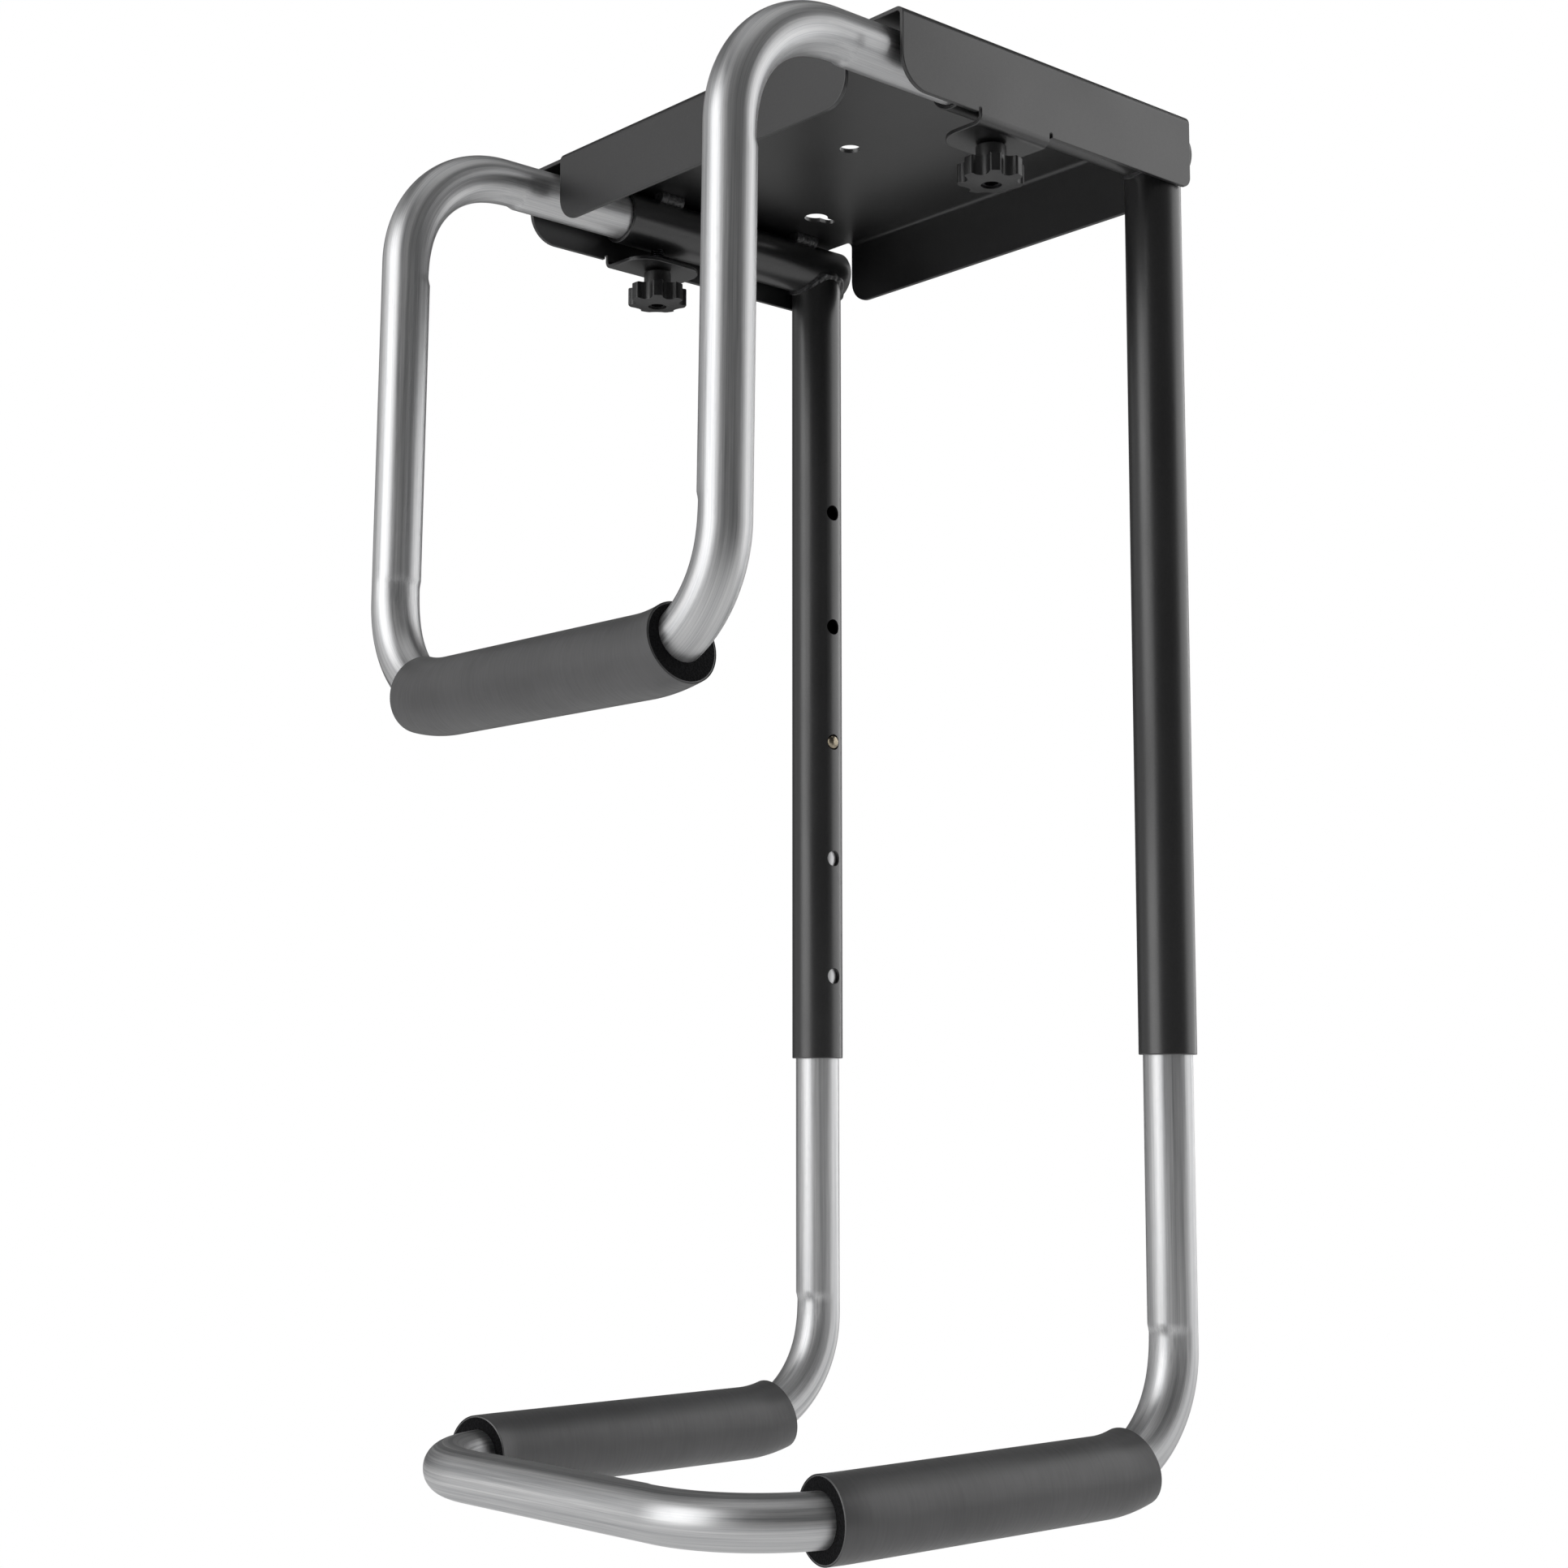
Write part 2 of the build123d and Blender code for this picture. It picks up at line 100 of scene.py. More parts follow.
def ramp(tree: NodeTree, source: NodeSocket, low: float, high: float, to_low: float,
         to_high: float) -> NodeSocket:
    """Map a pattern's range to the range that a socket wants, and clamp it."""
    node = add_node(tree, "MapRange", {1: low, 2: high, 3: to_low, 4: to_high}, {0: source})
    return node.outputs[0]


def noise(tree: NodeTree, place: NodeSocket, grain_mm: tuple[float, float, float],
          detail: float = 2.0, rough: float = 0.5) -> NodeSocket:
    """Noise whose blotches have a real size along each axis.

    Args:
        tree: the material's tree.
        place: coordinates in metres.
        grain_mm: size of a blotch along X, Y and Z.
        detail: octaves of finer noise.
        rough: strength of the finer octaves.

    Returns:
        The socket with the noise, from 0 to 1.
    """
    scale = tuple(1 / (size * MM) for size in grain_mm)
    spread = add_node(tree, "Mapping", {"Scale": scale}, {"Vector": place}, vector_type="POINT")
    node = add_node(tree, "TexNoise", {"Scale": 1.0, "Detail": detail, "Roughness": rough},
                    {"Vector": spread.outputs[0]})
    return node.outputs[0]


def object_place(tree: NodeTree) -> NodeSocket:
    """The place of each point of a piece, in metres."""
    return add_node(tree, "TexCoord").outputs["Object"]


def unbent_place(tree: NodeTree) -> NodeSocket:
    """The place that each point of a bent piece had while the piece was straight, in metres."""
    stored = add_node(tree, "Attribute", attribute_name="unbent", attribute_type="GEOMETRY")
    return stored.outputs["Vector"]


def wave_scale(period_mm: float) -> float:
    """The Scale that gives a wave texture one band in each period."""
    return math.pi / (10 * period_mm * MM)


def deselect() -> None:
    """Leave edit mode and select nothing."""
    if bpy.context.object and bpy.context.object.mode != "OBJECT":
        bpy.ops.object.mode_set(mode="OBJECT")
    bpy.ops.object.select_all(action="DESELECT")


def make_active(piece: Object) -> None:
    """Select one piece alone and make it the active one.

    Args:
        piece: the piece.
    """
    deselect()
    piece.select_set(True)
    bpy.context.view_layer.objects.active = piece


def edit_all(piece: Object) -> None:
    """Go into edit mode on one piece with all of it selected.

    Args:
        piece: the piece.
    """
    make_active(piece)
    bpy.ops.object.mode_set(mode="EDIT")
    bpy.ops.mesh.select_all(action="SELECT")


def clear_edges(piece: Object) -> None:
    """Make one piece active, with edges to choose and none chosen.

    Args:
        piece: the piece.
    """
    make_active(piece)
    bpy.ops.object.mode_set(mode="EDIT")
    bpy.ops.mesh.select_mode(type="EDGE")
    bpy.ops.mesh.select_all(action="DESELECT")
    bpy.ops.object.mode_set(mode="OBJECT")


def settle(piece: Object) -> None:
    """Merge doubles, point faces outwards, put the origin at zero and smooth the shading.

    Args:
        piece: the piece.
    """
    make_active(piece)
    bpy.ops.object.transform_apply(location=True, rotation=True, scale=True)
    edit_all(piece)
    bpy.ops.mesh.remove_doubles(threshold=SAME_PLACE)
    bpy.ops.mesh.normals_make_consistent(inside=False)
    bpy.ops.object.mode_set(mode="OBJECT")
    bpy.ops.object.shade_smooth_by_angle(angle=math.radians(SMOOTH_BELOW))


def points_of(piece: Object) -> np.ndarray:
    """Read a piece's vertices.

    Args:
        piece: the piece.

    Returns:
        Rows of X, Y and Z in metres.
    """
    flat = np.empty(len(piece.data.vertices) * 3, np.float32)
    piece.data.vertices.foreach_get("co", flat)
    return flat.reshape(-1, 3).astype(float)


def put_points(piece: Object, points: np.ndarray) -> None:
    """Write moved vertices back to the piece."""
    piece.data.vertices.foreach_set("co", points.astype(np.float32).ravel())
    piece.data.update()


# ---------------------------------------------------------------- finishes
@dataclass(frozen=True)
class Finish:
    """What every finish has: a name, a colour, a gloss and a shallow relief.

    shine is the strength of a non-metal's reflection, and 0.5 is what its IOR gives. spread is how far
    the roughness goes from its own value at the two ends of its pattern.
    """

    name: str
    colour: str
    roughness: float
    metallic: float = 0.0
    ior: float = 1.5
    shine: float = 0.5
    spread: tuple[float, float] = (-0.06, 0.08)
    bump_mm: float = 0.05
    bump_strength: float = 0.5

    def start(self) -> tuple[Material, NodeTree, Node]:
        """Begin the material with its constants on the shader's own sockets.

        Returns:
            The material, its node tree and its shader.
        """
        material = bpy.data.materials.new(self.name)
        material.use_nodes = True
        tree = material.node_tree
        shader = tree.nodes["Principled BSDF"]
        shader.inputs["Base Color"].default_value = linear(self.colour)
        shader.inputs["Roughness"].default_value = self.roughness
        shader.inputs["Metallic"].default_value = self.metallic
        if not self.metallic:
            shader.inputs["IOR"].default_value = self.ior
            shader.inputs["Specular IOR Level"].default_value = self.shine
        return material, tree, shader

    def tint(self, tree: NodeTree, shader: Node, pattern: NodeSocket,
             dark: str, light: str) -> None:
        """Let the base colour run between two colours by a pattern.

        Args:
            tree: the material's tree.
            shader: its Principled shader.
            pattern: a socket from 0 to 1.
            dark: hex colour at 0.
            light: hex colour at 1.
        """
        mix = add_node(tree, "Mix", {6: linear(dark), 7: linear(light)}, {0: pattern}, data_type="RGBA")
        tree.links.new(mix.outputs[2], shader.inputs["Base Color"])

    def gloss(self, tree: NodeTree, shader: Node, pattern: NodeSocket,
              low: float, high: float) -> None:
        """Let the roughness run over its spread while a pattern goes from low to high."""
        ends = (self.roughness + change for change in self.spread)
        tree.links.new(ramp(tree, pattern, low, high, *ends), shader.inputs["Roughness"])

    def relief(self, tree: NodeTree, shader: Node, height: NodeSocket) -> None:
        """Raise and lower the surface by a pattern.

        Args:
            tree: the material's tree.
            shader: its Principled shader.
            height: the pattern's socket.
        """
        size = {"Strength": self.bump_strength, "Distance": self.bump_mm * MM}
        bump = add_node(tree, "Bump", size, {"Height": height})
        tree.links.new(bump.outputs[0], shader.inputs["Normal"])


@dataclass(frozen=True)
class PowderCoat(Finish):
    """Black polyester powder baked on steel: a satin skin with orange peel and fine light specks."""

    name: str = "powder_coated_steel"
    colour: str = "#19191a"
    roughness: float = 0.38
    shine: float = 1.0
    spread: tuple[float, float] = (-0.05, 0.06)
    dark: str = "#0e0e0f"
    light: str = "#212123"
    peel_mm: float = 2.6
    speck_mm: float = 0.9
    cloud_mm: float = 70.0
    clear_coat: float = 0.6
    clear_roughness: float = 0.3

    def make(self) -> Material:
        """Build the material.

        Returns:
            The material.
        """
        material, tree, shader = self.start()
        place = object_place(tree)
        # Real specks are about 0.15 mm and drawn at 0.9 mm, so that they show.
        specks = noise(tree, place, (self.speck_mm,) * 3, 2.0, 0.7)
        peel = noise(tree, place, (self.peel_mm,) * 3, 1.0)
        cloud = noise(tree, place, (self.cloud_mm,) * 3, 2.0)
        self.tint(tree, shader, ramp(tree, specks, 0.3, 0.8, 0, 1), self.dark, self.light)
        self.gloss(tree, shader, cloud, *MIDDLE)
        both = add_node(tree, "Math", {1: 0.55}, {0: specks, 2: peel}, operation="MULTIPLY_ADD")
        self.relief(tree, shader, both.outputs[0])
        shader.inputs["Coat Weight"].default_value = self.clear_coat
        shader.inputs["Coat Roughness"].default_value = self.clear_roughness
        return material


@dataclass(frozen=True)
class WeldBead(Finish):
    """The same coat over a weld bead: overlapping ripples and small spatter show through it, and the
    raised spatter is painted lighter than the coat as a painted highlight.
    """

    name: str = "powder_coated_weld"
    colour: str = "#1f1f20"
    roughness: float = 0.36
    shine: float = 1.0
    bump_mm: float = 0.5
    bump_strength: float = 0.9
    dark: str = "#141415"
    # light is the painted highlight on the tops of the spatter lumps
    light: str = "#4c4c4e"
    ripple_mm: float = 3.6
    spatter_mm: float = 1.1

    def make(self) -> Material:
        """Build the material.

        Returns:
            The material.
        """
        material, tree, shader = self.start()
        place = object_place(tree)
        spatter = noise(tree, place, (self.spatter_mm,) * 3, 3.0, 0.6)
        values = {"Scale": wave_scale(self.ripple_mm), "Distortion": 2.5, "Detail": 2.0,
                  "Detail Scale": 1.5}
        wave = add_node(tree, "TexWave", values, {"Vector": place}, bands_direction="X")
        # The raised spatter is painted lighter than the coat: a painted highlight on the lumps.
        self.tint(tree, shader, ramp(tree, spatter, 0.35, 0.75, 0, 1), self.dark, self.light)
        both = add_node(tree, "Math", {1: 0.8}, {0: spatter, 2: wave.outputs[1]}, operation="MULTIPLY_ADD")
        self.relief(tree, shader, both.outputs[0])
        return material


@dataclass(frozen=True)
class DrawnAluminium(Finish):
    """Clear-anodised drawn aluminium tube: bright metal with fine grain and streaks along its length."""

    name: str = "anodised_aluminium"
    colour: str = "#d4d5d6"
    roughness: float = 0.38
    metallic: float = 1.0
    spread: tuple[float, float] = (-0.05, 0.16)
    bump_mm: float = 0.02
    dark: str = "#c2c3c5"
    light: str = "#f6f6f6"
    line_mm: tuple[float, float, float] = (0.5, 0.5, 60.0)
    streak_mm: tuple[float, float, float] = (2.4, 2.4, 260.0)
    scuff_mm: tuple[float, float, float] = (1.4, 1.4, 3.5)

    def make(self) -> Material:
        """Build the material, whose pattern runs along the tube as it was before it was bent.

        Returns:
            The material.
        """
        material, tree, shader = self.start()
        place = unbent_place(tree)
        # Real die lines are about 0.05 mm apart, and are drawn at 0.5 mm and more, so that they show.
        lines = noise(tree, place, self.line_mm, 3.0, 0.7)
        streaks = noise(tree, place, self.streak_mm, 3.0, 0.6)
        scuffs = noise(tree, place, self.scuff_mm, 3.0, 0.7)
        blend = add_node(tree, "Math", {1: 0.6}, {0: lines, 2: ramp(tree, streaks, *MIDDLE, 0.05, 0.35)},
                         operation="MULTIPLY_ADD").outputs[0]
        self.tint(tree, shader, ramp(tree, blend, 0.3, 0.72, 0, 1), self.dark, self.light)
        worn = add_node(tree, "Math", {1: 0.25}, {0: ramp(tree, scuffs, 0.56, 0.75, 0, 1), 2: blend},
                        operation="MULTIPLY_ADD").outputs[0]
        self.gloss(tree, shader, worn, 0.25, 0.9)
        self.relief(tree, shader, lines)
        return material


@dataclass(frozen=True)
class FoamSkin(Finish):
    """Closed-cell rubber foam tube: a dull dark skin with pores and scuffs round it."""

    name: str = "rubber_foam_skin"
    colour: str = "#474748"
    roughness: float = 0.4
    shine: float = 1.0
    spread: tuple[float, float] = (0.06, -0.07)
    bump_strength: float = 0.3
    dark: str = "#4b4b4c"
    light: str = "#5a5a5b"
    pore_mm: float = 0.8
    ring_mm: tuple[float, float, float] = (16.0, 16.0, 1.3)
    cloud_mm: tuple[float, float, float] = (22.0, 22.0, 40.0)
    sheen: float = 0.12
    sheen_roughness: float = 0.5

    def make(self) -> Material:
        """Build the material, whose pattern runs along the sleeve as it was before it was bent.

        Returns:
            The material.
        """
        material, tree, shader = self.start()
        place = unbent_place(tree)
        pores = noise(tree, place, (self.pore_mm,) * 3, 3.0, 0.7)
        rings = noise(tree, place, self.ring_mm, 3.0, 0.6)
        cloud = noise(tree, place, self.cloud_mm, 2.0)
        mixed = add_node(tree, "Math", {1: 0.5}, {0: rings, 2: ramp(tree, cloud, *MIDDLE, 0, 0.5)},
                         operation="MULTIPLY_ADD").outputs[0]
        self.tint(tree, shader, ramp(tree, mixed, 0.25, 0.8, 0, 1), self.dark, self.light)
        self.gloss(tree, shader, rings, 0.3, 0.75)
        height = add_node(tree, "Math", {1: 0.6}, {0: pores, 2: rings}, operation="MULTIPLY_ADD")
        self.relief(tree, shader, height.outputs[0])
        shader.inputs["Sheen Weight"].default_value = self.sheen
        shader.inputs["Sheen Roughness"].default_value = self.sheen_roughness
        return material


@dataclass(frozen=True)
class FoamCut(Finish):
    """The cut end of the same foam: open cells, darker and rougher than the skin, and painted darker
    towards the bottom of each cell as painted shade.
    """

    name: str = "rubber_foam_cut"
    colour: str = "#101011"
    roughness: float = 0.9
    shine: float = 0.2
    bump_mm: float = 0.35
    bump_strength: float = 0.8
    # dark is the painted shade at the bottom of each cell
    dark: str = "#080809"
    light: str = "#1c1c1e"
    cell_mm: float = 0.9

    def make(self) -> Material:
        """Build the material.

        Returns:
            The material.
        """
        material, tree, shader = self.start()
        place = object_place(tree)
        scale = {"Scale": 1 / (self.cell_mm * MM)}
        cells = add_node(tree, "TexVoronoi", scale, {"Vector": place}).outputs["Distance"]
        # Each cell is painted darker towards its bottom, where its bump is lowest: painted shade in the
        # pits.
        self.tint(tree, shader, ramp(tree, cells, 0.1, 0.8, 0, 1), self.dark, self.light)
        self.relief(tree, shader, cells)
        return material


@dataclass(frozen=True)
class MouldedPlastic(Finish):
    """Injection-moulded black plastic: satin, with the fine grain of a spark-eroded mould."""

    name: str = "moulded_black_plastic"
    colour: str = "#19191a"
    roughness: float = 0.34
    shine: float = 0.9
    bump_mm: float = 0.04
    dark: str = "#151516"
    light: str = "#202021"
    grain_mm: float = 0.5
    flow_mm: float = 9.0

    def make(self) -> Material:
        """Build the material.

        Returns:
            The material.
        """
        material, tree, shader = self.start()
        place = object_place(tree)
        grain = noise(tree, place, (self.grain_mm,) * 3, 2.0, 0.6)
        flow = noise(tree, place, (self.flow_mm,) * 3, 2.0)
        self.tint(tree, shader, ramp(tree, flow, *MIDDLE, 0, 1), self.dark, self.light)
        self.gloss(tree, shader, flow, *MIDDLE)
        self.relief(tree, shader, grain)
        return material


@dataclass(frozen=True)
class BareMetal(Finish):
    """Small metal hardware: plated or oiled, with turning marks and a mottled gloss."""

    spread: tuple[float, float] = (-0.06, 0.1)
    bump_mm: float = 0.02
    dark: str = "#8f8676"
    mark_mm: float = 0.6
    mottle_mm: float = 4.0

    def make(self) -> Material:
        """Build the material.

        Returns:
            The material.
        """
        material, tree, shader = self.start()
        place = object_place(tree)
        marks = noise(tree, place, (self.mark_mm,) * 3, 3.0, 0.6)
        mottle = noise(tree, place, (self.mottle_mm,) * 3, 2.0)
        self.tint(tree, shader, ramp(tree, mottle, *MIDDLE, 0, 1), self.dark, self.colour)
        self.gloss(tree, shader, mottle, *MIDDLE)
        self.relief(tree, shader, marks)
        return material


@dataclass(frozen=True)
class ScrewThread(Finish):
    """Blackened steel screw: the coat is dull and the thread's crests are rubbed brighter."""

    name: str = "blackened_thread"
    colour: str = "#3a3a3d"
    roughness: float = 0.4
    metallic: float = 1.0
    bump_mm: float = 0.5
    bump_strength: float = 0.9
    dark: str = "#161617"
    light: str = "#5c5d60"
    pitch_mm: float = 1.0

    def make(self) -> Material:
        """Build the material.

        Returns:
            The material.
        """
        material, tree, shader = self.start()
        place = object_place(tree)
        thread = add_node(tree, "TexWave", {"Scale": wave_scale(self.pitch_mm)}, {"Vector": place},
                          bands_direction="Z", wave_profile="SIN").outputs[1]
        self.tint(tree, shader, ramp(tree, thread, 0.4, 1.0, 0, 1), self.dark, self.light)
        self.relief(tree, shader, thread)
        return material


class Look(Enum):
    """The finishes that this holder has, by part of it."""

    FRAME = PowderCoat()
    WELD = WeldBead()
    TUBE = DrawnAluminium()
    SKIN = FoamSkin()
    CUT = FoamCut()
    KNOB = MouldedPlastic()
    PLUG = MouldedPlastic("moulded_plug", "#141415", 0.5, grain_mm=0.8)
    BUTTON = BareMetal("nickel_plate", "#c9bda6", 0.26, 1.0)
    SPRING = BareMetal("tempered_spring_steel", "#86888c", 0.34, 1.0, dark="#55575b")
    NUT = BareMetal("blackened_nut", "#3b3b3e", 0.42, 1.0, dark="#1d1d1f")
    THREAD = ScrewThread()

    def material(self) -> Material:
        """The finish's material, made the first time it is asked for."""
        return bpy.data.materials.get(self.value.name) or self.value.make()


def dress(node: str, look: Look) -> None:
    """Give a CAD node its finish through its own material slots.

    Args:
        node: the CAD node's name.
        look: the finish.
    """
    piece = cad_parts[node]
    for slot in piece.material_slots:
        slot.material = look.material()
    log.info("%s: %s", node, look.value.name)


# ---------------------------------------------------------------- bent tubes
@dataclass
class Leg:
    """One straight or one bend of a tube's centreline, with the frame that travels along it.

    Lengths are in metres. place is how far along the whole tube the leg starts, and across is square
    to the heading. A bend also has a centre, an axis and an angle.
    """

    start: Vector
    heading: Vector
    across: Vector
    length: float
    place: float
    centre: Vector | None = None
    axis: Vector | None = None
    angle: float = 0.0

    @property
    def end(self) -> Vector:
        """Where the leg ends.

        Returns:
            The point, in metres.
        """
        if self.centre is None:
            return self.start + self.heading * self.length
        return self.centre + Matrix.Rotation(self.angle, 3, self.axis) @ (self.start - self.centre)

    def unbend(self, points: np.ndarray) -> tuple[np.ndarray, np.ndarray]:
        """Lay points on this leg out on a straight tube.

        Args:
            points: rows of X, Y, Z in metres.

        Returns:
            The points as across, over and along, and how far each is from the leg's centreline.
        """
        offset = points - np.array(self.start)
        heading, across = np.array(self.heading), np.array(self.across)
        over = np.cross(heading, across)
        if self.centre is None:
            along = offset @ heading
        else:
            radius = (self.start - self.centre).length
            out = np.array((self.start - self.centre).normalized())
            axis = np.array(self.axis)
            arm = points - np.array(self.centre)
            turn = np.arctan2(arm @ heading, arm @ out)
            lift = np.hypot(arm @ heading, arm @ out)
            offset = np.outer(lift - radius, out) + np.outer(arm @ axis, axis)
            along = turn * radius
        flat = np.stack([offset @ across, offset @ over, along], 1)
        beyond = np.maximum(np.maximum(-along, along - self.length), 0)
        return flat + [0, 0, self.place], np.hypot(np.hypot(flat[:, 0], flat[:, 1]), beyond)

    def bend(self, flat: np.ndarray) -> np.ndarray:
        """Put points from the straight tube back on this leg, which undoes unbend.

        Args:
            flat: rows of across, over and along, in metres.

        Returns:
            The points as rows of X, Y and Z.
        """
        heading, across = np.array(self.heading), np.array(self.across)
        offset = np.outer(flat[:, 0], across) + np.outer(flat[:, 1], np.cross(heading, across))
        along = flat[:, 2] - self.place
        if self.centre is None:
            return np.array(self.start) + offset + np.outer(along, heading)
        arm = np.array(self.start - self.centre) + offset
        turn = along / (self.start - self.centre).length
        cos, sin, axis = np.cos(turn)[:, None], np.sin(turn)[:, None], np.array(self.axis)
        turned = arm * cos + np.cross(axis, arm) * sin + np.outer(arm @ axis, axis) * (1 - cos)
        return np.array(self.centre) + turned


@dataclass
class Route:
    """A tube's centreline: corners joined by straights, each corner rounded to its own radius."""

    corners: list[tuple[float, float, float]]
    radii: list[float]
    legs: list[Leg] = field(default_factory=list)

    def __post_init__(self) -> None:
        """Work the legs out from the corners, which are in millimetres."""
        corner = [Vector(c) * MM for c in self.corners]
        radii = [r * MM for r in self.radii]
        place, start = 0.0, corner[0]
        heading = (corner[1] - corner[0]).normalized()
        across = heading.orthogonal().normalized()
        for i, radius in enumerate(radii, 1):
            after = (corner[i + 1] - corner[i]).normalized()
            turn = heading.angle(after)
            cut = radius * math.tan(turn / 2)
            length = (corner[i] - heading * cut - start).length
            self.legs.append(Leg(start, heading, across, length, place))
            place += length
            bend_start = corner[i] - heading * cut
            axis = heading.cross(after).normalized()
            centre = bend_start + axis.cross(heading) * radius
            self.legs.append(Leg(bend_start, heading, across, radius * turn, place, centre, axis, turn))
            place += radius * turn
            spin = Matrix.Rotation(turn, 3, axis)
            across, heading = spin @ across, after
            start = corner[i] + after * cut
        self.legs.append(Leg(start, heading, across, (corner[-1] - start).length, place))

    def unbent(self, points: np.ndarray) -> np.ndarray:
        """Find each point's place on the tube before it was bent.

        Args:
            points: rows of X, Y and Z in metres.

        Returns:
            Rows of across, over and along, in metres.
        """
        maps = [leg.unbend(points) for leg in self.legs]
        nearest = np.argmin(np.stack([distance for _, distance in maps]), 0)
        return np.stack([flat for flat, _ in maps])[nearest, np.arange(len(points))]

    def bent(self, flat: np.ndarray) -> np.ndarray:
        """Put places on the straight tube back on the bent one.

        Args:
            flat: rows of across, over and along, in metres.

        Returns:
            Rows of X, Y and Z in metres.
        """
        starts = np.array([leg.place for leg in self.legs])
        which = np.maximum(np.searchsorted(starts, flat[:, 2], side="right") - 1, 0)
        points = np.empty_like(flat)
        for i, leg in enumerate(self.legs):
            points[which == i] = leg.bend(flat[which == i])
        return points

    def mark(self, piece: Object) -> None:
        """Keep each vertex's unbent place on the piece, for its material to read.

        Args:
            piece: the finished mesh.
        """
        flat = self.unbent(points_of(piece)).astype(np.float32)
        layer = piece.data.attributes.new("unbent", "FLOAT_VECTOR", "POINT")
        layer.data.foreach_set("vector", flat.ravel())

    def shell(self, name: str, radius: float, around: int = 72, near: float = 24.0,
              near_steps: int = 14, bend_step: float = 1.5) -> Object:
        """Draw a ring along the route: extruded over each straight and spun round each bend.

        Args:
            name: the new piece's name.
            radius: the ring's radius in millimetres.
            around: points round the ring.
            near: length beside each bend that gets close rings, in millimetres.
            near_steps: rings in that length.
            bend_step: degrees from ring to ring in a bend.

        Returns:
            An open tube.
        """
        first = self.legs[0]
        deselect()
        bpy.ops.mesh.primitive_circle_add(vertices=around, radius=radius * MM, location=first.start,
                                          rotation=first.heading.to_track_quat("Z", "Y").to_euler())
        piece = bpy.context.object
        piece.name = piece.data.name = name
        bpy.ops.object.transform_apply(location=True, rotation=True, scale=True)
        edit_all(piece)
        for leg in self.legs:
            if leg.centre is None:
                close = min(near * MM, leg.length / 3)
                rings = [close / near_steps] * near_steps
                steps = rings + [leg.length - 2 * close] + rings if close > MM else [leg.length]
                for step in steps:
                    bpy.ops.mesh.extrude_region_move(TRANSFORM_OT_translate={"value": leg.heading * step})
            else:
                # With no window open the spin turns the other way round, so the angle is negative.
                turns = max(2, round(math.degrees(leg.angle) / bend_step))
                bpy.ops.mesh.spin(steps=turns, angle=-leg.angle, center=leg.centre, axis=leg.axis)
        settle(piece)
        return piece


@dataclass
class AluminiumTube:
    """A drawn and bent aluminium tube with a bright, grained surface. Sizes are in millimetres.

    The press marks are on the inside of each bend. They start press_before ahead of it with a step
    press_step long, are press_depth deep there, and fade over press_fade to flat_depth.
    """

    name: str
    node: str
    body: str
    route: Route
    radius: float = 11.0
    wall: float = 1.5
    press_depth: float = 1.0
    press_step: float = 2.2
    press_fade: float = 11.0
    press_before: float = 8.0
    flat_depth: float = 0.15
    holes: list[tuple[float, float, float]] = field(default_factory=list)
    hole_radius: float = 3.95
    drill_length: float = 12.0
    drill_reach: float = 10.0

    def press_marks(self, piece: Object) -> None:
        """Flatten the inside of each bend, with a step where the bender's former began.

        Args:
            piece: the open tube, before it has its wall.
        """
        flat = self.route.unbent(points_of(piece))
        spread = np.hypot(flat[:, 0], flat[:, 1])
        push = np.zeros(len(flat))
        for leg in self.route.legs:
            if leg.centre is not None:
                inward, over = leg.axis.cross(leg.heading), leg.heading.cross(leg.across)
                facing = (flat[:, 0] * inward.dot(leg.across) + flat[:, 1] * inward.dot(over)) / spread
                along = flat[:, 2] - leg.place
                from_edge = np.minimum(along, leg.length - along) / MM + self.press_before
                step = np.clip(from_edge / self.press_step + 1, 0, 1) ** 2
                fade = np.exp(-(np.maximum(from_edge, 0) / self.press_fade) ** 2)
                depth = self.flat_depth + (self.press_depth - self.flat_depth) * fade
                push += depth * MM * step * np.clip(facing, 0, 1)
        flat[:, :2] *= (1 - push / spread)[:, None]
        put_points(piece, self.route.bent(flat))

    def build(self) -> Object:
        """Make the tube, give it its wall and its holes, and dress it.

        Returns:
            The finished piece.
        """
        piece = self.route.shell(self.name, self.radius)
        self.press_marks(piece)
        wall = piece.modifiers.new("wall", "SOLIDIFY")
        wall.thickness, wall.offset, wall.use_even_offset = self.wall * MM, -1.0, True
        make_active(piece)
        bpy.ops.object.modifier_apply(modifier="wall")
        for hole in self.holes:
            self.drill(piece, Vector(hole) * MM)
        self.route.mark(piece)
        piece.data.materials.append(Look.TUBE.material())
        make_active(piece)
        bpy.ops.object.shade_smooth_by_angle(angle=math.radians(SMOOTH_BELOW))
        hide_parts(self.node)
        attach(piece, self.body)
        log.info("%s: %d faces on %s", piece.name, len(piece.data.polygons), self.body)
        return piece

    def drill(self, piece: Object, hole: Vector) -> None:
        """Cut a snap button's hole through the inner side of a leg.

        Args:
            piece: the tube.
            hole: a point on the leg's axis, in metres.
        """
        deselect()
        side = -1 if hole.y > 0 else 1
        bpy.ops.mesh.primitive_cylinder_add(vertices=48, radius=self.hole_radius * MM,
                                            depth=self.drill_length * MM,
                                            location=hole + Vector((0, side * self.drill_reach * MM, 0)),
                                            rotation=(math.pi / 2, 0, 0))
        drill = bpy.context.object
        make_active(piece)
        cut = piece.modifiers.new("hole", "BOOLEAN")
        cut.object, cut.solver = drill, "EXACT"
        bpy.ops.object.modifier_apply(modifier="hole")
        bpy.data.objects.remove(drill)


def on_plane(a: Vector, b: Vector, point: Vector, heading: Vector) -> bool:
    """Whether an edge lies on the plane through a point and square to a heading."""
    return max(abs((a - point).dot(heading)), abs((b - point).dot(heading))) < ON_PLANE


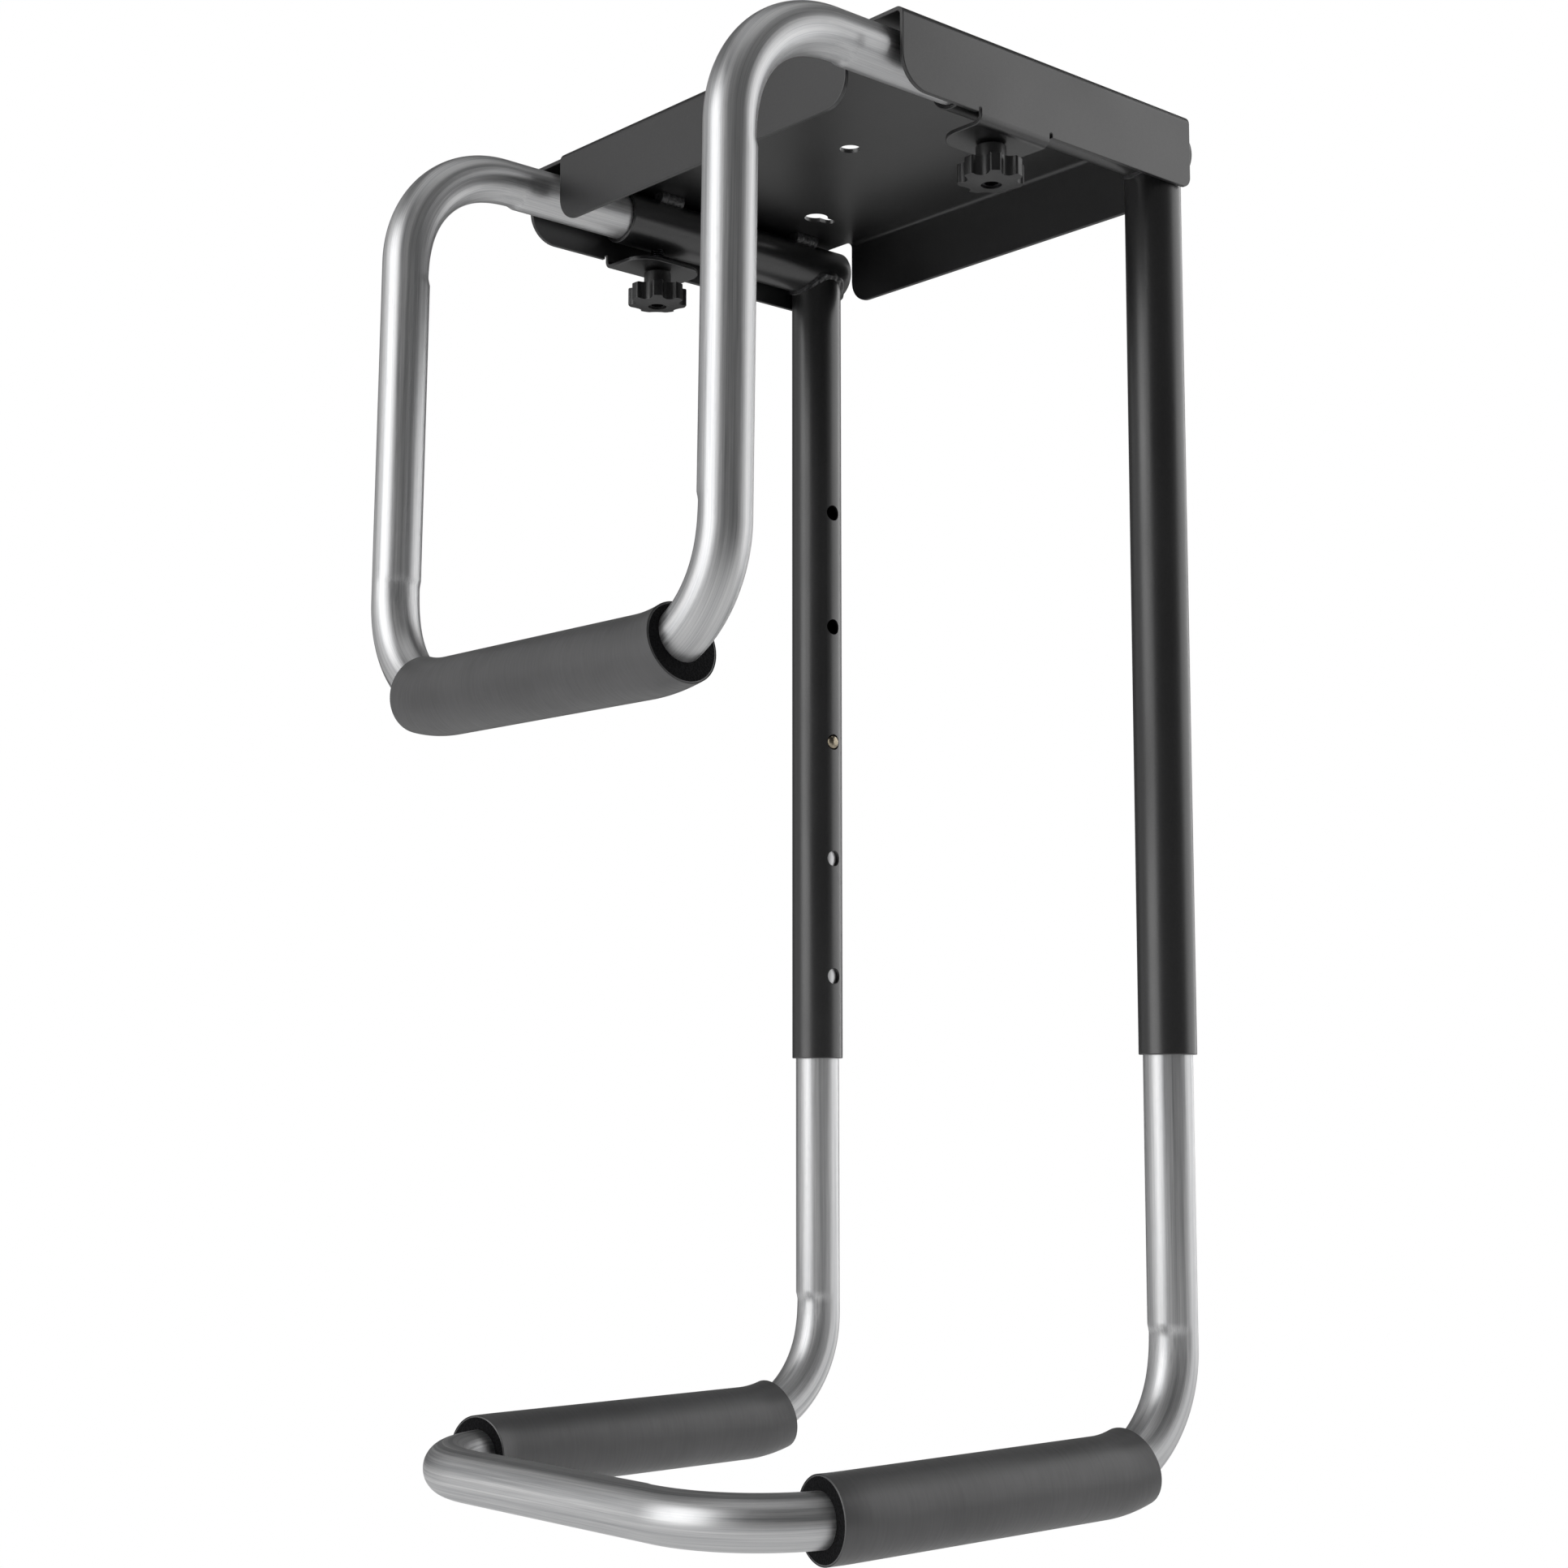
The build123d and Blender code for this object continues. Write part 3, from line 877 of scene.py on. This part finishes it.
@dataclass
class FoamSleeve:
    """A foam sleeve pushed over a tube, which bends less than the tube does. Sizes are in millimetres.

    tube is the way that the hole takes and outer is the way of the skin, so the wall is uneven near
    the ends.
    """

    name: str
    node: str
    body: str
    tube: Route
    outer: Route
    radius: float = 17.25
    bore: float = 11.1
    cut_round: float = 0.9
    rim_inside: float = 0.05
    rim_outside: float = 0.5
    smooth_below: float = 40.0

    def build(self) -> Object:
        """Make the sleeve from an outer skin and a bore, bridge its ends and dress it.

        Returns:
            The finished piece.
        """
        rings = {"around": 96, "near": 14, "near_steps": 6}
        skin = self.outer.shell(self.name, self.radius, **rings)
        rims = [(self.outer.legs[0].start, self.outer.legs[0].heading),
                (self.outer.legs[-1].end, self.outer.legs[-1].heading)]
        bore = self.tube.shell(self.name + "_bore", self.bore, **rings)
        self.trim_bore(bore, rims)
        self.turn_over(bore)
        deselect()
        bore.select_set(True)
        skin.select_set(True)
        bpy.context.view_layer.objects.active = skin
        bpy.ops.object.join()
        for point, heading in rims:
            self.close_end(skin, point, heading)
        self.soften(skin, rims)
        self.tube.mark(skin)
        self.paint(skin, rims)
        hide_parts(self.node)
        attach(skin, self.body)
        log.info("%s: %d faces on %s", skin.name, len(skin.data.polygons), self.body)
        return skin

    def trim_bore(self, bore: Object, rims: list[tuple[Vector, Vector]]) -> None:
        """Cut the bore's shell where it passes through the plane of each end.

        Args:
            bore: the open tube that lines the hole.
            rims: the two ends, each a point on the centreline and the heading there.
        """
        for point, heading in ((rims[0][0], -rims[0][1]), rims[1]):
            edit_all(bore)
            bpy.ops.mesh.bisect(plane_co=point, plane_no=heading, clear_outer=True, use_fill=False,
                                threshold=1e-7)
            bpy.ops.object.mode_set(mode="OBJECT")

    def turn_over(self, bore: Object) -> None:
        """Point the bore's faces at its axis, because its outside is the hollow.

        Args:
            bore: the open tube that lines the hole.
        """
        edit_all(bore)
        bpy.ops.mesh.flip_normals()
        bpy.ops.object.mode_set(mode="OBJECT")

    def close_end(self, skin: Object, point: Vector, heading: Vector) -> None:
        """Bridge the skin's and the bore's rims on one end's plane.

        Args:
            skin: the skin joined with its bore.
            point: the end of the centreline.
            heading: the way the centreline runs there.
        """
        clear_edges(skin)
        count = np.zeros(len(skin.data.edges), int)
        keys = {key: i for i, key in enumerate(skin.data.edge_keys)}
        for face in skin.data.polygons:
            for key in face.edge_keys:
                count[keys[key]] += 1
        for edge in skin.data.edges:
            if count[edge.index] == 1:
                a, b = (skin.data.vertices[v].co for v in edge.vertices)
                edge.select = on_plane(a, b, point, heading) and (a - point).length < 2 * self.radius * MM
        bpy.ops.object.mode_set(mode="EDIT")
        bpy.ops.mesh.bridge_edge_loops()
        bpy.ops.object.mode_set(mode="OBJECT")

    def soften(self, skin: Object, rims: list[tuple[Vector, Vector]]) -> None:
        """Round the edge between the skin and each cut end.

        Args:
            skin: the closed sleeve.
            rims: the two ends, each a point on the centreline and the heading there.
        """
        clear_edges(skin)
        for edge in skin.data.edges:
            a, b = (skin.data.vertices[v].co for v in edge.vertices)
            for point, heading in rims:
                inner = min((a - point).length, (b - point).length)
                outside = inner > (self.radius - self.rim_inside) * MM
                near = (a - point).length < (self.radius + self.rim_outside) * MM
                if on_plane(a, b, point, heading) and outside and near:
                    edge.select = True
        bpy.ops.object.mode_set(mode="EDIT")
        bpy.ops.mesh.bevel(offset=self.cut_round * MM, segments=3, profile=0.5, affect="EDGES")
        bpy.ops.object.mode_set(mode="OBJECT")
        bpy.ops.object.shade_smooth_by_angle(angle=math.radians(self.smooth_below))

    def paint(self, skin: Object, rims: list[tuple[Vector, Vector]]) -> None:
        """Give the skin and the cut ends their own finishes.

        Args:
            skin: the closed sleeve.
            rims: the two ends, each a point on the centreline and the heading there.
        """
        skin.data.materials.append(Look.SKIN.material())
        skin.data.materials.append(Look.CUT.material())
        for face in skin.data.polygons:
            for point, heading in rims:
                level = abs((face.center - point).dot(heading)) < LEVEL
                square = abs(face.normal.dot(heading)) > SQUARE
                if level and square and (face.center - point).length < 2 * self.radius * MM:
                    face.material_index = 1


# ---------------------------------------------------------------- the holder
@dataclass
class BlackFrame:
    """The coated steel frame: folded plate, guide tubes, uprights, welds, plugs and nuts."""

    ends: tuple[str, str] = ("front", "rear")

    def build(self) -> None:
        """Dress every CAD node of the frame."""
        dress("mounting_plate", Look.FRAME)
        for end in self.ends:
            dress(f"guide_tube_{end}", Look.FRAME)
            dress(f"upright_{end}", Look.FRAME)
            dress(f"guide_welds_{end}", Look.WELD)
            dress(f"saddle_weld_{end}", Look.WELD)
            dress(f"guide_plug_{end}", Look.PLUG)
            dress(f"clamp_nut_{end}", Look.NUT)


@dataclass
class SlidingLoop:
    """The aluminium loop that slides in the guide tubes, and the foam on its bar.

    Sizes are in millimetres. foam_wrap is the length of foam that goes round each bend, and foam_bend
    the radius that it takes there.
    """

    tube_y: float = 114.95
    guide_z: float = -16.15
    inner_x: float = 9.95
    corner_x: float = -171.4
    bar_x: float = -175.3194
    bar_z: float = -274.25
    top_bend: float = 52.0
    bar_bend: float = 48.0
    foam_wrap: float = 23.4
    foam_bend: float = 96.0
    bore_reach: float = 90.0

    def build(self) -> None:
        """Build the tube and its sleeve."""
        y, corners = self.tube_y, []
        for side in (-1, 1):
            run = [(self.inner_x, side * y, self.guide_z), (self.corner_x, side * y, self.guide_z),
                   (self.bar_x, side * y, self.bar_z)]
            corners += run if side < 0 else run[::-1]
        route = Route(corners, [self.top_bend, self.bar_bend, self.bar_bend, self.top_bend])
        AluminiumTube("loop_tube_grained", "loop_tube", "loop", route).build()
        FoamSleeve("bar_foam", "loop_sleeve", "loop", self.bare_bar(), self.sleeve_route()).build()

    def rise(self) -> Vector:
        """The way that the loop's legs rise from its bar."""
        return Vector((self.corner_x - self.bar_x, 0, self.guide_z - self.bar_z)).normalized()

    def bare_bar(self) -> Route:
        """Follow the bar itself, to past the foam's ends.

        Returns:
            The route of the foam's bore.
        """
        up = self.rise() * self.bore_reach
        y = self.tube_y
        return Route([(self.bar_x + up.x, -y, self.bar_z + up.z), (self.bar_x, -y, self.bar_z),
                      (self.bar_x, y, self.bar_z), (self.bar_x + up.x, y, self.bar_z + up.z)],
                     [self.bar_bend, self.bar_bend])

    def sleeve_route(self) -> Route:
        """Follow the foam: straight on the bar, and bent half as much as the tube at its ends.

        Returns:
            The route of the foam's skin.
        """
        up = self.rise()
        half = self.tube_y - self.bar_bend
        turn = self.foam_wrap / self.foam_bend
        cut = self.foam_bend * math.tan(turn / 2)
        ends = []
        for side in (-1, 1):
            corner = Vector((self.bar_x, side * (half + cut), self.bar_z))
            tip = corner + (Vector((0, side, 0)) * math.cos(turn) + up * math.sin(turn)) * (cut + TIP)
            ends.append((corner, tip))
        return Route([tuple(ends[0][1]), tuple(ends[0][0]), tuple(ends[1][0]), tuple(ends[1][1])],
                     [self.foam_bend, self.foam_bend])


@dataclass
class Cradle:
    """The aluminium cradle under the computer, its two foam sleeves and its spring buttons.

    Sizes are in millimetres. wrap_front and wrap_back are the lengths of foam that go round each bend,
    and foam_ease is how many times wider the foam's bend is than the tube's.
    """

    tube_y: float = 114.95
    upright_x: float = 83.0
    leg_top: float = -243.0
    foot_z: float = -607.0
    cross_x: float = -163.2
    back_bend: float = 50.2
    front_bend: float = 51.5
    button_z: float = -268.0
    wrap_front: float = 12.6
    wrap_back: float = 20.4
    foam_ease: float = 1.5
    bore_reach: float = 90.0

    def build(self) -> None:
        """Build the tube and sleeves, and dress the buttons and springs."""
        y = self.tube_y
        route = Route([(self.upright_x, -y, self.leg_top), (self.upright_x, -y, self.foot_z),
                       (self.cross_x, -y, self.foot_z), (self.cross_x, y, self.foot_z),
                       (self.upright_x, y, self.foot_z), (self.upright_x, y, self.leg_top)],
                      [self.back_bend, self.front_bend, self.front_bend, self.back_bend])
        AluminiumTube("cradle_tube_grained", "cradle_tube", "cradle", route,
                      holes=[(self.upright_x, side * y, self.button_z) for side in (-1, 1)]).build()
        for end, side in (("front", -1), ("rear", 1)):
            FoamSleeve(f"foot_foam_{end}", f"foot_sleeve_{end}", "cradle", self.bare_foot(side),
                       self.sleeve_route(side)).build()
            dress(f"snap_button_{end}", Look.BUTTON)
            self.flexing_spring(end)

    def flexing_spring(self, end: str) -> None:
        """Copy a button's spring, shade it smooth and give it its own finish. The copy stays still, though
        on the holder its inner arm gives way with the button while the outer one stays.

        Args:
            end: the leg's name.
        """
        node = f"button_spring_{end}"
        deselect()
        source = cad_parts[node]
        source.select_set(True)
        bpy.context.view_layer.objects.active = source
        bpy.ops.object.duplicate()
        spring = bpy.context.object
        spring.name = spring.data.name = f"flexing_spring_{end}"
        for key in list(spring.keys()):
            del spring[key]
        spring.parent = None
        settle(spring)
        spring.data.materials.clear()
        spring.data.materials.append(Look.SPRING.material())
        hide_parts(node)
        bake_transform(spring)
        log.info("%s: %d faces, bends with its button", spring.name, len(spring.data.polygons))

    def bare_foot(self, side: int) -> Route:
        """Follow the foot tube itself on one side, to past the foam's ends.

        Args:
            side: -1 for the front foot and 1 for the rear one.

        Returns:
            The route of the foam's bore.
        """
        y = side * self.tube_y
        reach = self.bore_reach
        return Route([(self.cross_x, y - side * reach, self.foot_z), (self.cross_x, y, self.foot_z),
                      (self.upright_x, y, self.foot_z), (self.upright_x, y, self.foot_z + reach)],
                     [self.front_bend, self.back_bend])

    def sleeve_route(self, side: int) -> Route:
        """Follow the foam on one side, bent about two thirds as much as the tube.

        Args:
            side: -1 for the front foot and 1 for the rear one.

        Returns:
            The route of the foam's skin.
        """
        y = side * self.tube_y
        front, back = self.foam_ease * self.front_bend, self.foam_ease * self.back_bend
        turn_front, turn_back = self.wrap_front / front, self.wrap_back / back
        cut_front, cut_back = front * math.tan(turn_front / 2), back * math.tan(turn_back / 2)
        near = Vector((self.cross_x + self.front_bend - cut_front, y, self.foot_z))
        far = Vector((self.upright_x - self.back_bend + cut_back, y, self.foot_z))
        first = near + Vector((-math.cos(turn_front), -side * math.sin(turn_front), 0)) * (cut_front + TIP)
        last = far + Vector((math.cos(turn_back), 0, math.sin(turn_back))) * (cut_back + TIP)
        return Route([tuple(first), tuple(near), tuple(far), tuple(last)], [front, back])


@dataclass
class Clamps:
    """The two star knobs with their inserts and screws."""

    ends: tuple[str, str] = ("front", "rear")

    def build(self) -> None:
        """Dress every CAD node of the clamps."""
        for end in self.ends:
            dress(f"clamp_knob_{end}", Look.KNOB)
            dress(f"knob_insert_{end}", Look.NUT)
            dress(f"clamp_screw_{end}", Look.THREAD)


# ---------------------------------------------------------------- the studio
@dataclass(frozen=True)
class Softbox:
    """One soft rectangular light: its place and size in metres and its power in watts."""

    name: str
    place: tuple[float, float, float]
    size: tuple[float, float]
    power: float


@dataclass
class Studio:
    """A pale floor and backdrop, soft lights and the camera.

    Lengths are in metres, and the lens and the sensor in millimetres. pool is where the
    floor's glow starts to fade and where it ends, measured from the middle.
    """

    lamps: tuple[Softbox, ...] = (
        Softbox("right_wall", (2.08, -1.3, 0.1), (2.1, 3.2), 22),
        Softbox("right_rim", (2.45, 0.1, 0.1), (0.6, 3.2), 12),
        Softbox("left_wall", (-2.43, 0.43, 0.1), (2.0, 3.2), 36),
        Softbox("left_rim", (-1.25, 2.05, 0.1), (2.3, 3.2), 6),
        Softbox("ceiling", (-0.2, -0.2, 2.4), (2.2, 2.2), 6),
    )
    eye: tuple[float, float, float] = (-0.7889, -0.8408, -0.4415)
    forward: tuple[float, float, float] = (0.65954, 0.74244, 0.11740)
    up: tuple[float, float, float] = (-0.07797, -0.08777, 0.99308)
    lens: float = 57.9
    aim: tuple[float, float, float] = (0.0, 0.0, -0.3)
    floor_z: float = -0.80
    pool: tuple[float, float] = (0.7, 1.9)
    pool_strength: float = 0.22
    floor_size: float = 40.0
    room_strength: float = 0.09
    sensor: float = 36.0
    sight: float = 50.0

    def build(self) -> None:
        """Set the stage."""
        self.camera()
        self.floor()
        self.world()
        for lamp in self.lamps:
            self.hang(lamp)

    def camera(self) -> None:
        """Put the camera in its place."""
        data = bpy.data.cameras.new("camera")
        data.lens, data.sensor_width, data.clip_end = self.lens, self.sensor, self.sight
        forward, up = Vector(self.forward).normalized(), Vector(self.up).normalized()
        right = forward.cross(up).normalized()
        turn = Matrix((right, right.cross(forward), -forward)).transposed().to_4x4()
        eye = bpy.data.objects.new("camera", data)
        eye.matrix_world = Matrix.Translation(self.eye) @ turn
        bpy.context.scene.collection.objects.link(eye)
        bpy.context.scene.camera = eye

    def floor(self) -> None:
        """Lay a wide floor that the camera sees as white as the backdrop.

        The object sees a pale sheet instead, with a pool of weak light near it.
        """
        deselect()
        bpy.ops.mesh.primitive_plane_add(size=self.floor_size, location=(0, 0, self.floor_z))
        floor = bpy.context.object
        floor.name = "floor"
        material = bpy.data.materials.new("pale_floor")
        material.use_nodes = True
        tree = material.node_tree
        tree.nodes.clear()
        sheet = add_node(tree, "BsdfDiffuse", {"Color": linear("#ececec")})
        place = object_place(tree)
        away = add_node(tree, "VectorMath", None, {0: place}, operation="LENGTH").outputs["Value"]
        pool = ramp(tree, away, *self.pool, self.pool_strength, 0.0)
        bounce = add_node(tree, "Emission", {"Color": (1, 1, 1, 1)}, {"Strength": pool})
        paper = add_node(tree, "AddShader", None, {0: sheet.outputs[0], 1: bounce.outputs[0]})
        glow = add_node(tree, "Emission", {"Color": (1, 1, 1, 1), "Strength": 1.0})
        seen = add_node(tree, "LightPath").outputs["Is Camera Ray"]
        mix = add_node(tree, "MixShader", None, {0: seen, 1: paper.outputs[0], 2: glow.outputs[0]})
        add_node(tree, "OutputMaterial", None, {0: mix.outputs[0]})
        floor.data.materials.append(material)

    def world(self) -> None:
        """White behind the object, and a grey room in its reflections."""
        world = bpy.data.worlds.new("room")
        bpy.context.scene.world = world
        world.use_nodes = True
        tree = world.node_tree
        tree.nodes.clear()
        room = add_node(tree, "Background", {"Color": (1, 1, 1, 1), "Strength": self.room_strength})
        white = add_node(tree, "Background", {"Color": (1, 1, 1, 1), "Strength": 1.0})
        seen = add_node(tree, "LightPath").outputs["Is Camera Ray"]
        mix = add_node(tree, "MixShader", None, {0: seen, 1: room.outputs[0], 2: white.outputs[0]})
        add_node(tree, "OutputWorld", None, {0: mix.outputs[0]})

    def hang(self, box: Softbox) -> None:
        """Hang one light so that it faces the middle of the holder.

        Args:
            box: the light's name, place, size and power.
        """
        data = bpy.data.lights.new(box.name, "AREA")
        data.shape, data.size, data.size_y, data.energy = "RECTANGLE", *box.size, box.power
        lamp = bpy.data.objects.new(box.name, data)
        lamp.location = box.place
        lamp.rotation_euler = (Vector(box.place) - Vector(self.aim)).to_track_quat("Z", "Y").to_euler()
        bpy.context.scene.collection.objects.link(lamp)


def main() -> None:
    """Build the holder's looks round its frame."""
    logging.basicConfig(level=logging.INFO, format="%(message)s")
    BlackFrame().build()
    SlidingLoop().build()
    Cradle().build()
    Clamps().build()
    bpy.context.scene.view_settings.view_transform = "Standard"
    Studio().build()


if __name__ == "__main__":
    main()
